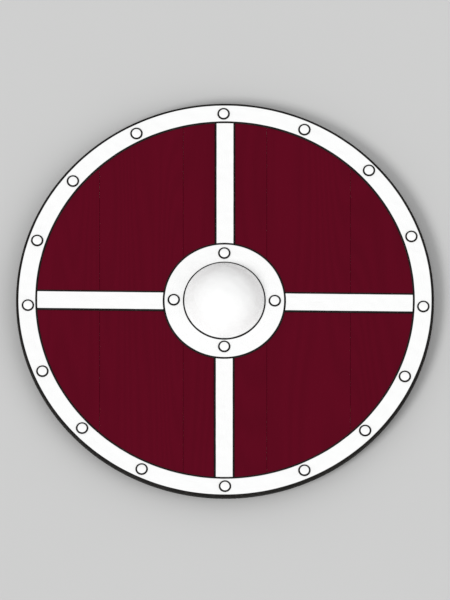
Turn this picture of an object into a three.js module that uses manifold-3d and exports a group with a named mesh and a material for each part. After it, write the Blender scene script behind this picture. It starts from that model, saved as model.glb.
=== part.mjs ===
// A wooden round shield, lying on the battens of its back with its face up.
//
// Five planks are held together by two battens and a long hand grip, pegged on from behind, and by an
// iron hoop of U section that wraps their edge. Four flat iron straps cross the face. The thin tongues
// at their ends run under the hoop and under the flange of the domed boss, and the rivets of the hoop
// and of the boss go through them. The boss covers the hole that the hand goes into.
//
// Millimetres, +Z up. The origin is below the middle of the shield, on the plane that it lies on.
// +Y points to the top of the shield. A bearing is an angle in degrees, clockwise from the top.

import * as THREE from "three";
import { mergeVertices } from "three/addons/utils/BufferGeometryUtils.js";
import Module from "manifold-3d";

const wasm = await Module();
wasm.setup();

// ---- Driving dimensions ------------------------------------------------------------------------

const SHIELD_R = 380;
const BOARD_T = 10;
const PLATE_T = 1.6;
// Every two pieces that touch keep this gap.
const GAP = 0.3;

const HOOP_FACE_W = 38.2;
const HOOP_BACK_W = 34;
const HOOP_ROUND = 3.2;
// Plate edges slope down over this width and height.
const ARRIS_W = 2.6;
const ARRIS_H = 1;

const PLANK_SEAMS = [-228, -76, 76, 228];
const HAND_HOLE_R = 60;

const STRAP_LET_IN = 1.5;
// The straps were laid by eye: the two at the sides are a little wider, and share a line that is a
// little low and out of square, and the bottom one stands a little to the left.
const STRAPS = {
  top: { width: 37, bearing: 0, x: 0, y: 0 },
  right: { width: 38.6, bearing: 90.65, x: 0, y: -2.2 },
  bottom: { width: 37, bearing: 180, x: -1.4, y: 0 },
  left: { width: 38.6, bearing: 270.65, x: 0, y: -2.85 },
};
// Where the tongues of the straps end, under the boss and under the hoop.
const TONGUE_INNER_R = 81;
const TONGUE_OUTER_R = 369.6;

// The boss was set by eye too, a little low and to the left.
const BOSS_AT = [-1.2, -1.4];
const FLANGE_R = 111.8;
const DOME_R = 73.6;
const DOME_H = 50;

const HEAD_R = 11;
const HEAD_H = 3.8;
const SHANK_R = 2.5;
const TAIL_R = 5.5;
const TAIL_H = 1.6;
// The rivets were set by eye, so they wander from equal steps on a circle: [bearing, radius].
const BOSS_RIVETS = { top: [359.2, 90.6], right: [90.9, 90.5], bottom: [180.9, 89.7], left: [270.3, 93.2] };
const HOOP_RIVETS = [
  [359.6, 359.6],
  [23.7, 359.2],
  [46.3, 362.1],
  [70.1, 360.4],
  [92, 360.8],
  [114.3, 358.8],
  [134.7, 358.5],
  [156.3, 359.2],
  [180, 359.6],
  [204.9, 360],
  [226.4, 358.8],
  [247.5, 359.4],
  [268.4, 358.5],
  [288.6, 360.3],
  [309.7, 359.4],
  [333.4, 359.5],
];
const ROVE_SIDE = 18;
const ROVE_T = 1.5;

const BATTEN_T = 22;
const BATTEN_W = 36;
const BATTEN_HALF_LENGTH = 275;
const BATTEN_Y = 185;
// The ends of the battens rise off the ground over this length and height.
const BATTEN_RAMP = 20;
const BATTEN_RAMP_RISE = 10;

const GRIP_HALF_LENGTH = 330;
const GRIP_PAD_W = 38;
const GRIP_PAD_T = 15.7;
const GRIP_PAD_START = 50;
const GRIP_PAD_END = 112;
const GRIP_TIP_W = 24;
const GRIP_TIP_T = 9;
const HANDLE_W = 30;
const HANDLE_T = 23;
const HANDLE_HALF_LENGTH = 60;

const PEG_R = 4.2;
const PEG_DEPTH_IN_PLANK = 6.5;
const BATTEN_PEG_XS = [-243, -152, 0, 152, 243];
const GRIP_PEG_XS = [-285, -175, 175, 285];

// ---- Numbers of sides and steps ----------------------------------------------------------------

const HOOP_SIDES = 64;
const BOSS_SIDES = 36;
const DOME_STEPS = 7;
const HEAD_SIDES = 10;
const HOLE_SIDES = 8;
const HANDLE_SIDES = 14;
// Cutting tools run this far past the faces that they cut.
const OVERRUN = 5;

// ---- Levels and radii worked out from them -----------------------------------------------------

const BACK_Z = BATTEN_T;
const FACE_Z = BACK_Z + BOARD_T;
const PLATE_LOW_Z = FACE_Z + GAP;
const PLATE_Z = PLATE_LOW_Z + PLATE_T;
const HOUSING_Z = FACE_Z - STRAP_LET_IN;
const STRAP_LOW_Z = HOUSING_Z + GAP;
const CHANNEL_LOW_Z = BACK_Z - GAP;
const HOOP_LOW_Z = CHANNEL_LOW_Z - PLATE_T;
const TIMBER_Z = BACK_Z - GAP;
const GRIP_LOW_Z = TIMBER_Z - GRIP_PAD_T;
const PEG_TOP_Z = BACK_Z + PEG_DEPTH_IN_PLANK;

/** The corner radius of a polygon whose flat sides lie at a radius. */
function cornerRadius(flatRadius, sides) {
  return flatRadius / Math.cos(Math.PI / sides);
}

const CHANNEL_R = SHIELD_R - PLATE_T;
const HOOP_INNER_R = SHIELD_R - HOOP_FACE_W;
const HOOP_BACK_R = SHIELD_R - HOOP_BACK_W;
const BOARD_R = CHANNEL_R - cornerRadius(GAP, HOOP_SIDES);
const DRILL_R = cornerRadius(SHANK_R + GAP, HOLE_SIDES);
const PEG_HOLE_R = PEG_R + cornerRadius(GAP, HOLE_SIDES);

// ---- Finishes ----------------------------------------------------------------------------------

const finishes = {
  maroonPaint: { color: "#5c0b1e", roughness: 0.6, metalness: 0 },
  whitePaint: { color: "#f4f3ef", roughness: 0.45, metalness: 0.1 },
  blackIron: { color: "#2b2a29", roughness: 0.6, metalness: 0.8 },
  ashWood: { color: "#b58b5c", roughness: 0.65, metalness: 0 },
  oakWood: { color: "#8a6238", roughness: 0.7, metalness: 0 },
};

// ---- Small tools -------------------------------------------------------------------------------

/** A closed geometry as a solid that can be joined and cut. */
function toSolid(geometry) {
  const loose = geometry.index ? geometry.toNonIndexed() : geometry;
  const bare = new THREE.BufferGeometry();
  bare.setAttribute("position", loose.getAttribute("position"));
  const merged = mergeVertices(bare, 1e-3);
  const mesh = new wasm.Mesh({
    numProp: 3,
    vertProperties: merged.attributes.position.array,
    triVerts: new Uint32Array(merged.index.array),
  });
  return new wasm.Manifold(mesh);
}

/** A solid as a geometry again. */
function toGeometry(solid) {
  const mesh = solid.getMesh();
  const geometry = new THREE.BufferGeometry();
  geometry.setAttribute("position", new THREE.BufferAttribute(mesh.vertProperties, 3));
  geometry.setIndex(new THREE.BufferAttribute(mesh.triVerts, 1));
  return geometry;
}

/** Takes the listed tools away from a solid. */
function cut(solid, tools) {
  return tools.reduce((left, tool) => left.subtract(tool), solid);
}

/** A profile of [radius, height] points turned about the Z axis. */
function turned(profile, sides) {
  const points = profile.map(([radius, height]) => new THREE.Vector2(radius, height));
  return new THREE.LatheGeometry(points, sides).rotateX(Math.PI / 2);
}

/** A box between two heights, centred on x, y. */
function block(width, depth, low, high, x = 0, y = 0) {
  return new THREE.BoxGeometry(width, depth, high - low).translate(x, y, (low + high) / 2);
}

/** An upright round bar between two heights. */
function bar(radius, low, high, sides, x = 0, y = 0) {
  return new THREE.CylinderGeometry(radius, radius, high - low, sides)
    .rotateX(Math.PI / 2)
    .translate(x, y, (low + high) / 2);
}

/** A flat outline of [x, y] points raised along Z. */
function raised(points, depth) {
  const outline = new THREE.Shape(points.map(([x, y]) => new THREE.Vector2(x, y)));
  return new THREE.ExtrudeGeometry(outline, { depth, bevelEnabled: false });
}

/** An outline of [x, z] points, standing on the ground and running from one y to another. */
function raisedAlongY(points, fromY, toY) {
  return raised(points, toY - fromY)
    .rotateX(Math.PI / 2)
    .translate(0, toY, 0);
}

/** The place at a bearing and a radius. */
function at(bearing, radius) {
  const angle = THREE.MathUtils.degToRad(bearing);
  return [radius * Math.sin(angle), radius * Math.cos(angle)];
}

/** Brings a geometry that points to the top of the shield to where one strap lies. */
function layAsStrap(name, geometry) {
  const { bearing, x, y } = STRAPS[name];
  return geometry.rotateZ(-THREE.MathUtils.degToRad(bearing)).translate(x, y, 0);
}

/** One named piece, from a geometry or from a solid. */
function makePiece(name, shape, finish) {
  const geometry = shape.isBufferGeometry ? shape : toGeometry(shape);
  const piece = new THREE.Mesh(geometry, new THREE.MeshStandardMaterial(finish));
  piece.name = name;
  return piece;
}

/** A piece made on the Z axis and moved to a place. */
function placePiece(name, shape, [x, y], finish) {
  const piece = makePiece(name, shape, finish);
  piece.position.set(x, y, 0);
  return piece;
}

// ---- Places of the fastenings ------------------------------------------------------------------

const strapNames = Object.keys(STRAPS);
const bossRivets = Object.entries(BOSS_RIVETS);
const battens = Object.entries({ upper: BATTEN_Y, lower: -BATTEN_Y });
const hoopRivetPlaces = HOOP_RIVETS.map(([bearing, radius]) => at(bearing, radius));
const bossRivetPlaces = bossRivets.map(([, [bearing, radius]]) => at(bearing, radius));

/** Drills for the rivets at some places, right through everything. */
function rivetDrills(places) {
  const low = -OVERRUN;
  const high = PLATE_Z + OVERRUN;
  return places.map(([x, y]) => toSolid(bar(DRILL_R, low, high, HOLE_SIDES, x, y)));
}

/** Drills for a row of pegs, from below and blind in the planks. */
function pegDrills(xs, y) {
  const low = -OVERRUN;
  const high = PEG_TOP_Z + GAP;
  return xs.map((x) => toSolid(bar(PEG_HOLE_R, low, high, HOLE_SIDES, x, y)));
}

const hoopRivetDrills = rivetDrills(hoopRivetPlaces);
const bossRivetDrills = rivetDrills(bossRivetPlaces);
const gripPegDrills = pegDrills(GRIP_PEG_XS, 0);

// ---- Planks ------------------------------------------------------------------------------------

/** The shallow housing in the face of the board that one strap lies in. */
function strapHousing(name) {
  const inner = TONGUE_INNER_R - GAP;
  const outer = TONGUE_OUTER_R + GAP;
  const width = STRAPS[name].width + 2 * GAP;
  const housing = block(width, outer - inner, HOUSING_Z, PLATE_Z, 0, (inner + outer) / 2);
  return toSolid(layAsStrap(name, housing));
}

/** The five planks: one round board, cut at the seams and for all that goes into it. */
function makePlanks() {
  const names = ["far_left", "left", "middle", "right", "far_right"];
  const edges = [-SHIELD_R, ...PLANK_SEAMS, SHIELD_R];
  const low = BACK_Z - OVERRUN;
  const high = FACE_Z + OVERRUN;
  const board = toSolid(bar(BOARD_R, BACK_Z, FACE_Z, HOOP_SIDES));
  const cuts = [
    toSolid(bar(HAND_HOLE_R, low, high, BOSS_SIDES)),
    ...strapNames.map(strapHousing),
    ...hoopRivetDrills,
    ...bossRivetDrills,
    ...battens.flatMap(([, y]) => pegDrills(BATTEN_PEG_XS, y)),
    ...gripPegDrills,
  ];
  return names.map((name, i) => {
    const width = edges[i + 1] - edges[i] - GAP;
    const middle = (edges[i] + edges[i + 1]) / 2;
    const slot = toSolid(block(width, 2 * SHIELD_R, low, high, middle));
    return makePiece(`plank_${name}`, cut(board.intersect(slot), cuts), finishes.maroonPaint);
  });
}

// ---- Hoop --------------------------------------------------------------------------------------

/** The U section of the hoop, wide on the face and a little narrower behind. */
function hoopSection() {
  const round = HOOP_ROUND;
  const corner = round * Math.SQRT1_2;
  return [
    [HOOP_INNER_R, PLATE_LOW_Z],
    [CHANNEL_R, PLATE_LOW_Z],
    [CHANNEL_R, CHANNEL_LOW_Z],
    [HOOP_BACK_R, CHANNEL_LOW_Z],
    [HOOP_BACK_R, HOOP_LOW_Z],
    [SHIELD_R - round, HOOP_LOW_Z],
    [SHIELD_R - round + corner, HOOP_LOW_Z + round - corner],
    [SHIELD_R, HOOP_LOW_Z + round],
    [SHIELD_R, PLATE_Z - round],
    [SHIELD_R - round + corner, PLATE_Z - round + corner],
    [SHIELD_R - round, PLATE_Z],
    [HOOP_INNER_R + ARRIS_W, PLATE_Z],
    [HOOP_INNER_R, PLATE_Z - ARRIS_H],
    [HOOP_INNER_R, PLATE_LOW_Z],
  ];
}

function makeHoop() {
  const hoop = toSolid(turned(hoopSection(), HOOP_SIDES));
  return makePiece("rim_hoop", cut(hoop, hoopRivetDrills), finishes.whitePaint);
}

// ---- Boss --------------------------------------------------------------------------------------

/** Points on a cap of a sphere, from its top down to a height. */
function capArc(radius, centreZ, lowZ) {
  const last = Math.acos((lowZ - centreZ) / radius);
  return Array.from({ length: DOME_STEPS + 1 }, (_, i) => {
    const angle = (last * i) / DOME_STEPS;
    return [radius * Math.sin(angle), centreZ + radius * Math.cos(angle)];
  });
}

/** The section of the boss: down the inside, out along the flange, and up the outside. */
function bossSection() {
  const sphereR = (DOME_R ** 2 + DOME_H ** 2) / (2 * DOME_H);
  const centreZ = PLATE_Z + DOME_H - sphereR;
  const outside = capArc(sphereR, centreZ, PLATE_Z);
  const inside = capArc(sphereR - PLATE_T, centreZ, PLATE_LOW_Z);
  const flange = [
    [FLANGE_R, PLATE_LOW_Z],
    [FLANGE_R, PLATE_Z - ARRIS_H],
    [FLANGE_R - ARRIS_W, PLATE_Z],
  ];
  return [...inside, ...flange, ...outside.reverse()];
}

function makeBoss() {
  const boss = toSolid(turned(bossSection(), BOSS_SIDES).translate(...BOSS_AT, 0));
  return makePiece("boss", cut(boss, bossRivetDrills), finishes.whitePaint);
}

// ---- Straps ------------------------------------------------------------------------------------

/** The section across a strap, with its sloped edges. */
function strapSection(width) {
  const half = width / 2;
  return [
    [-half, STRAP_LOW_Z],
    [half, STRAP_LOW_Z],
    [half, PLATE_Z - ARRIS_H],
    [half - ARRIS_W, PLATE_Z],
    [ARRIS_W - half, PLATE_Z],
    [-half, PLATE_Z - ARRIS_H],
  ];
}

/** The space between flange and hoop, where the straps stand proud of the board. */
function openFace() {
  const innerR = FLANGE_R + cornerRadius(GAP, BOSS_SIDES);
  const outerR = HOOP_INNER_R - cornerRadius(GAP, HOOP_SIDES);
  const whole = toSolid(bar(outerR, HOUSING_Z, PLATE_Z + OVERRUN, HOOP_SIDES));
  const core = toSolid(
    bar(innerR, HOUSING_Z - OVERRUN, PLATE_Z + 2 * OVERRUN, BOSS_SIDES, ...BOSS_AT),
  );
  return whole.subtract(core);
}

/** Four straps, each proud between flange and hoop and thinned to a tongue beyond them. */
function makeStraps() {
  const face = openFace();
  const middleR = (TONGUE_INNER_R + TONGUE_OUTER_R) / 2;
  const length = TONGUE_OUTER_R - TONGUE_INNER_R;
  return strapNames.map((name) => {
    const { width } = STRAPS[name];
    const proud = raisedAlongY(strapSection(width), TONGUE_INNER_R, TONGUE_OUTER_R);
    const thin = block(width, length, STRAP_LOW_Z, FACE_Z, 0, middleR);
    const strap = toSolid(layAsStrap(name, proud))
      .intersect(face)
      .add(toSolid(layAsStrap(name, thin)));
    const drilled = cut(strap, [...hoopRivetDrills, ...bossRivetDrills]);
    return makePiece(`strap_${name}`, drilled, finishes.whitePaint);
  });
}

// ---- Rivets and roves --------------------------------------------------------------------------

/** A rivet with a domed head on the plate and a peened tail below a surface. */
function rivetGeometry(surfaceZ) {
  const headZ = PLATE_Z + GAP;
  const tailZ = surfaceZ - GAP;
  const profile = [
    [0, tailZ - TAIL_H],
    [TAIL_R * 0.75, tailZ - TAIL_H * 0.8],
    [TAIL_R, tailZ],
    [SHANK_R, tailZ],
    [SHANK_R, headZ],
    [HEAD_R, headZ],
    [HEAD_R * 0.72, headZ + HEAD_H * 0.68],
    [0, headZ + HEAD_H],
  ];
  return turned(profile, HEAD_SIDES);
}

function makeHoopRivets() {
  return hoopRivetPlaces.map((place, i) => {
    const name = `rim_rivet_${String(i + 1).padStart(2, "0")}`;
    return placePiece(name, rivetGeometry(HOOP_LOW_Z), place, finishes.whitePaint);
  });
}

/** The boss's rivets, each closed over a square rove on the middle plank or on a pad of the grip. */
function makeBossRivets() {
  const backings = { top: BACK_Z, right: GRIP_LOW_Z, bottom: BACK_Z, left: GRIP_LOW_Z };
  return bossRivets.flatMap(([name], i) => {
    const high = backings[name] - GAP;
    const low = high - ROVE_T;
    const place = bossRivetPlaces[i];
    const plate = toSolid(block(ROVE_SIDE, ROVE_SIDE, low, high));
    const hole = toSolid(bar(DRILL_R, low - OVERRUN, high + OVERRUN, HOLE_SIDES));
    return [
      placePiece(`boss_rivet_${name}`, rivetGeometry(low), place, finishes.whitePaint),
      placePiece(`rove_${name}`, plate.subtract(hole), place, finishes.blackIron),
    ];
  });
}

// ---- Battens, grip and pegs --------------------------------------------------------------------

/** The two battens that the shield lies on, with ends that rise off the ground. */
function makeBattens() {
  const end = BATTEN_HALF_LENGTH;
  const flat = end - BATTEN_RAMP;
  const side = [
    [-flat, 0],
    [flat, 0],
    [end, BATTEN_RAMP_RISE],
    [end, TIMBER_Z],
    [-end, TIMBER_Z],
    [-end, BATTEN_RAMP_RISE],
  ];
  return battens.map(([name, y]) => {
    const batten = toSolid(raisedAlongY(side, y - BATTEN_W / 2, y + BATTEN_W / 2));
    return makePiece(`batten_${name}`, cut(batten, pegDrills(BATTEN_PEG_XS, y)), finishes.ashWood);
  });
}

/** The height of the underside of the grip's arm, which rises towards the tip. */
function gripUnderside(x) {
  const along = Math.max(0, Math.abs(x) - GRIP_PAD_END) / (GRIP_HALF_LENGTH - GRIP_PAD_END);
  return TIMBER_Z - THREE.MathUtils.lerp(GRIP_PAD_T, GRIP_TIP_T, along);
}

/** The right arm of the grip: a pad by the hand hole, tapering in width and depth to its tip. */
function gripArm() {
  const tip = GRIP_HALF_LENGTH;
  const side = [
    [GRIP_PAD_START, GRIP_LOW_Z],
    [GRIP_PAD_END, GRIP_LOW_Z],
    [tip, gripUnderside(tip)],
    [tip, TIMBER_Z],
    [GRIP_PAD_START, TIMBER_Z],
  ];
  const plan = [
    [GRIP_PAD_START, -GRIP_PAD_W / 2],
    [GRIP_PAD_END, -GRIP_PAD_W / 2],
    [tip, -GRIP_TIP_W / 2],
    [tip, GRIP_TIP_W / 2],
    [GRIP_PAD_END, GRIP_PAD_W / 2],
    [GRIP_PAD_START, GRIP_PAD_W / 2],
  ];
  const standing = toSolid(raisedAlongY(side, -GRIP_PAD_W, GRIP_PAD_W));
  const lying = toSolid(raised(plan, BATTEN_T));
  return standing.intersect(lying);
}

/** The oval handle between the pads, which swells up into the hand hole. */
function handleSpindle() {
  const half = HANDLE_HALF_LENGTH;
  const radius = HANDLE_W / 2;
  const profile = [
    [0, -half],
    [radius * 0.35, -half * 0.95],
    [radius * 0.8, -half * 0.86],
    [radius * 0.95, -half * 0.74],
    [radius, 0],
    [radius * 0.95, half * 0.74],
    [radius * 0.8, half * 0.86],
    [radius * 0.35, half * 0.95],
    [0, half],
  ];
  return turned(profile, HANDLE_SIDES)
    .rotateY(Math.PI / 2)
    .scale(1, 1, HANDLE_T / HANDLE_W)
    .translate(0, 0, GRIP_LOW_Z + HANDLE_T / 2);
}

function makeGrip() {
  const rightArm = gripArm();
  const leftArm = toSolid(toGeometry(rightArm).rotateZ(Math.PI));
  const grip = rightArm.add(leftArm).add(toSolid(handleSpindle()));
  return makePiece("hand_grip", cut(grip, [...gripPegDrills, ...bossRivetDrills]), finishes.ashWood);
}

/** Wooden pegs, driven up through battens and grip into blind holes in the planks. */
function makePegs() {
  const battenPegs = battens.flatMap(([name, y]) =>
    BATTEN_PEG_XS.map((x, i) => {
      const peg = bar(PEG_R, GAP, PEG_TOP_Z, HOLE_SIDES);
      return placePiece(`peg_${name}_${i + 1}`, peg, [x, y], finishes.oakWood);
    }),
  );
  const gripPegs = GRIP_PEG_XS.map((x, i) => {
    const peg = bar(PEG_R, gripUnderside(x), PEG_TOP_Z, HOLE_SIDES);
    return placePiece(`peg_grip_${i + 1}`, peg, [x, 0], finishes.oakWood);
  });
  return [...battenPegs, ...gripPegs];
}

// ---- The shield --------------------------------------------------------------------------------

/** A group of pieces. */
function groupOf(pieces) {
  return new THREE.Group().add(...pieces);
}

const woodwork = groupOf([...makePlanks(), ...makeBattens(), makeGrip(), ...makePegs()]);
const ironwork = groupOf([makeHoop(), makeBoss(), ...makeStraps()]);
const fastenings = groupOf([...makeHoopRivets(), ...makeBossRivets()]);
const shield = groupOf([woodwork, ironwork, fastenings]);

export default shield;
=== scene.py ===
"""A round shield of maroon planks and white-painted iron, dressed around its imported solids.

The shield lies face up on the two battens of its back. +Y points to the top of the shield and +X to
the right of its face. Shapes are worked in millimetres, and each mesh is brought to metres as it is
settled into the scene.
"""

import logging
import math
from dataclasses import dataclass, field
from enum import Enum
from typing import Any, Callable, Iterable, Sequence

import bmesh
import bpy
from mathutils import Matrix, Vector, noise


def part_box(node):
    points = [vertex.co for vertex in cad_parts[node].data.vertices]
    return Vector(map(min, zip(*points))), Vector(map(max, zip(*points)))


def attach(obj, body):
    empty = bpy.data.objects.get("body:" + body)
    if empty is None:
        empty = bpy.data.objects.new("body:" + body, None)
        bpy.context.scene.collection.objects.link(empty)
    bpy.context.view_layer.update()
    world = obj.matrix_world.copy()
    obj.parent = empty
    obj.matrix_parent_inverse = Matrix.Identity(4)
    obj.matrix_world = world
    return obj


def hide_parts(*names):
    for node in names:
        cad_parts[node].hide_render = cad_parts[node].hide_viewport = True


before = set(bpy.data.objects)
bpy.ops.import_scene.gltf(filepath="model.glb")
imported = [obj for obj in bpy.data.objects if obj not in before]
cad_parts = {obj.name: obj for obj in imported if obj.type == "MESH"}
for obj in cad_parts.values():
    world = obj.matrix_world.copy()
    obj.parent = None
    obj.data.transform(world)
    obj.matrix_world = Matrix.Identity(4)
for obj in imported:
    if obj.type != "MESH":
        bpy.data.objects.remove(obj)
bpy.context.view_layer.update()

log = logging.getLogger("shield")

MM = 0.001
REACH = "paint_reach"
X, Y, Z = range(3)

# Angles, in radians. An edge above SHARP_ANGLE may be rounded, and faces below FLAT_ANGLE are one face.
QUARTER = math.pi / 2
SHARP_ANGLE = 0.5
FLAT_ANGLE = math.radians(0.5)

# Materials read places in metres, so this is in metres too.
PLANK_WIDTH = 0.152

# These are in millimetres. Reach counts no further than REACH_LIMIT to each side of the edge of the
# paint. What is nearer than NEAR lies in one place, what is nearer than ON_LEVEL to the iron's flat
# face is part of it, and points nearer than MERGE are joined.
PLATE_T = 1.6
REACH_LIMIT = 3.0
NEAR = 0.01
ON_LEVEL = 0.001
MERGE = 0.002
CUT_SLACK = 0.0005

# A face whose normal rises more than this looks upwards.
UPWARDS = 0.5

# The values of a noise mostly lie between these.
NOISE_SPREAD = (0.3, 0.7)

Profile = list[tuple[float, float]]
Colour = tuple[float, float, float]
Socket = bpy.types.NodeSocket


# ---- Named options -------------------------------------------------------------------------------


class Slot(Enum):
    """The record's material slots."""

    PLANKS = "painted_planks"
    WHITE_IRON = "white_iron"
    BLACK_IRON = "black_iron"
    ASH = "ash_wood"
    OAK = "oak_pegs"


class GrainRun(Enum):
    """The way that a piece's grain runs, as the turn that brings it onto the Y axis."""

    ALONG_X = (0.0, 0.0, QUARTER)
    ALONG_Y = (0.0, 0.0, 0.0)
    ALONG_Z = (QUARTER, 0.0, 0.0)


class Stroke(Enum):
    """The way that the brush was drawn over an iron piece."""

    UP = "up"
    ACROSS = "across"
    ROUND = "round"


class Arm(Enum):
    """The four straps: name, width, bearing clockwise from the top, and shift in X and in Y."""

    TOP = ("top", 37.0, 0.0, 0.0, 0.0)
    RIGHT = ("right", 38.6, 90.65, 0.0, -2.2)
    BOTTOM = ("bottom", 37.0, 180.0, -1.4, 0.0)
    LEFT = ("left", 38.6, 270.65, 0.0, -2.85)

    @property
    def label(self) -> str:
        """The strap's own word in the names of its pieces."""
        return self.value[0]

    @property
    def half_width(self) -> float:
        """Half the strap's width, in millimetres."""
        return self.value[1] / 2.0

    @property
    def stroke(self) -> Stroke:
        """The way that the strap was brushed."""
        return Stroke.UP if self in (Arm.TOP, Arm.BOTTOM) else Stroke.ACROSS

    @property
    def placing(self) -> Matrix:
        """The transform that lays a strap made towards the top of the shield in its place.

        Returns:
            A turn about the middle, and then a shift.
        """
        _, _, bearing, x, y = self.value
        turn = Matrix.Rotation(-math.radians(bearing), 4, "Z")
        return Matrix.Translation((x, y, 0.0)) @ turn


# ---- Levels read from the solids -----------------------------------------------------------------


def node_box(node: str) -> tuple[Vector, Vector]:
    """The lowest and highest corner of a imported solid.

    Args:
        node: The solid's name.

    Returns:
        Two corners, in millimetres.
    """
    low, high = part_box(node)
    return low / MM, high / MM


@dataclass(frozen=True)
class Levels:
    """Heights of the shield's main surfaces, in millimetres."""

    face: float
    hoop_low: float
    plate_low: float
    plate: float
    crown: float
    strap_low: float
    timber: float

    @classmethod
    def read(cls) -> "Levels":
        """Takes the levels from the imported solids.

        Returns:
            The levels of the shield.
        """
        hoop_low, hoop_high = node_box("rim_hoop")
        return cls(
            face=node_box("plank_middle")[1].z,
            hoop_low=hoop_low.z,
            plate_low=hoop_high.z - PLATE_T,
            plate=hoop_high.z,
            crown=node_box("boss")[1].z,
            strap_low=node_box("strap_top")[0].z,
            timber=node_box("batten_upper")[1].z,
        )

    def on_plate(self, point: Vector) -> bool:
        """Whether a point lies on the flat face of the iron."""
        return abs(point.z - self.plate) < ON_LEVEL


# ---- Mesh tools ----------------------------------------------------------------------------------


def steps_between(start: float, end: float, count: int) -> list[float]:
    """Evenly spaced values from start to end, both included.

    Args:
        start: The first value.
        end: The last value.
        count: How many steps lie between them.

    Returns:
        count + 1 values.
    """
    return [start + (end - start) * i / count for i in range(count + 1)]


def ease(value: float, low: float, high: float) -> float:
    """A smooth change from 0 at low to 1 at high."""
    t = min(1.0, max(0.0, (value - low) / (high - low)))
    return t * t * (3.0 - 2.0 * t)


def ripple(point: Vector, size: float, seed: float) -> float:
    """A gentle unevenness between -1 and 1.

    Args:
        point: Where it is read, in millimetres.
        size: How far apart the swells are, in millimetres.
        seed: Picks one of many fields.

    Returns:
        The height of the swell.
    """
    return noise.noise(point / size + Vector((seed, 2.0 * seed, 3.0 * seed)))


def dip(point: Vector, size: float, seed: float) -> float:
    """A gentle unevenness between 0 and 1, read as ripple is."""
    return 0.5 + 0.5 * ripple(point, size, seed)


def arc(middle: tuple[float, float], across: float, up: float, angles: Iterable[float]) -> Profile:
    """Points on an arc of a section.

    Args:
        middle: The (radius, height) point that the arc goes round.
        across: How far out it reaches.
        up: How far up it reaches, or below 0 how far down.
        angles: Where its points lie, from the line along the axis.

    Returns:
        (radius, height) points.
    """
    return [(middle[0] + across * math.sin(a), middle[1] + up * math.cos(a)) for a in angles]


def turn_profile(profile: Profile, steps: int, closed: bool) -> bmesh.types.BMesh:
    """Spins a section once about the Z axis.

    Args:
        profile: (radius, height) points of the section.
        steps: How many steps the full turn has.
        closed: Whether the section closes on itself, or else starts and ends on the axis.

    Returns:
        The turned shell.
    """
    bm = bmesh.new()
    points = [bm.verts.new((radius, 0.0, height)) for radius, height in profile]
    ends = points[1:] + points[:1] if closed else points[1:]
    edges = [bm.edges.new(pair) for pair in zip(points, ends)]
    bmesh.ops.spin(
        bm,
        geom=points + edges,
        cent=(0.0, 0.0, 0.0),
        axis=(0.0, 0.0, 1.0),
        angle=math.tau,
        steps=steps,
        use_merge=True,
    )
    bmesh.ops.remove_doubles(bm, verts=bm.verts, dist=MERGE)
    bmesh.ops.recalc_face_normals(bm, faces=bm.faces)
    return bm


def copy_solid(node: str) -> bmesh.types.BMesh:
    """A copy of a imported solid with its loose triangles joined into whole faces.

    Args:
        node: The solid's name.

    Returns:
        The copy, in millimetres.
    """
    bm = bmesh.new()
    bm.from_mesh(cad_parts[node].data)
    bmesh.ops.scale(bm, vec=Vector((1.0, 1.0, 1.0)) / MM, verts=bm.verts)
    bmesh.ops.remove_doubles(bm, verts=bm.verts, dist=NEAR)
    bmesh.ops.dissolve_limit(bm, angle_limit=FLAT_ANGLE, verts=bm.verts, edges=bm.edges)
    return bm


def slice_along(bm: bmesh.types.BMesh, axis: int, cuts: Iterable[float]) -> None:
    """Cuts edges into a mesh at places along an axis, and keeps both sides.

    Args:
        bm: The mesh.
        axis: 0, 1 or 2, for X, Y or Z.
        cuts: Where to cut, in millimetres.
    """
    normal = Vector((0.0, 0.0, 0.0))
    normal[axis] = 1.0
    for place in cuts:
        bmesh.ops.bisect_plane(
            bm,
            geom=bm.verts[:] + bm.edges[:] + bm.faces[:],
            dist=CUT_SLACK,
            plane_co=normal * place,
            plane_no=normal,
        )


def divide_along(bm: bmesh.types.BMesh, axis: int, low: float, high: float, count: int) -> None:
    """Cuts edges into a mesh so that count equal strips lie from low to high along an axis."""
    slice_along(bm, axis, steps_between(low, high, count)[1:-1])


def is_level(edge: bmesh.types.BMEdge) -> bool:
    """Whether both ends of an edge lie at one height."""
    return abs(edge.verts[0].co.z - edge.verts[1].co.z) < NEAR


def round_edges(
    bm: bmesh.types.BMesh,
    width: float,
    segments: int,
    wanted: Callable[[bmesh.types.BMEdge], bool],
) -> None:
    """Rounds the sharp edges that are wanted.

    Args:
        bm: The mesh.
        width: The width of the rounding, in millimetres.
        segments: How many strips it has.
        wanted: Says whether a sharp edge is rounded.
    """
    sharp = [e for e in bm.edges if e.is_manifold and e.calc_face_angle() > SHARP_ANGLE]
    bmesh.ops.bevel(
        bm,
        geom=[e for e in sharp if wanted(e)],
        offset=width,
        offset_type="OFFSET",
        segments=segments,
        profile=0.5,
        affect="EDGES",
        clamp_overlap=True,
        material=-1,
    )


def mark_reach(bm: bmesh.types.BMesh, reach: Callable[[Vector], float]) -> None:
    """Writes how far inside the painted area each point lies.

    Args:
        bm: The mesh.
        reach: Gives the distance in millimetres, below 0 where the iron stays bare.
    """
    layer = bm.verts.layers.float.new(REACH)
    for vert in bm.verts:
        vert[layer] = max(-REACH_LIMIT, min(REACH_LIMIT, reach(vert.co)))


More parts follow.
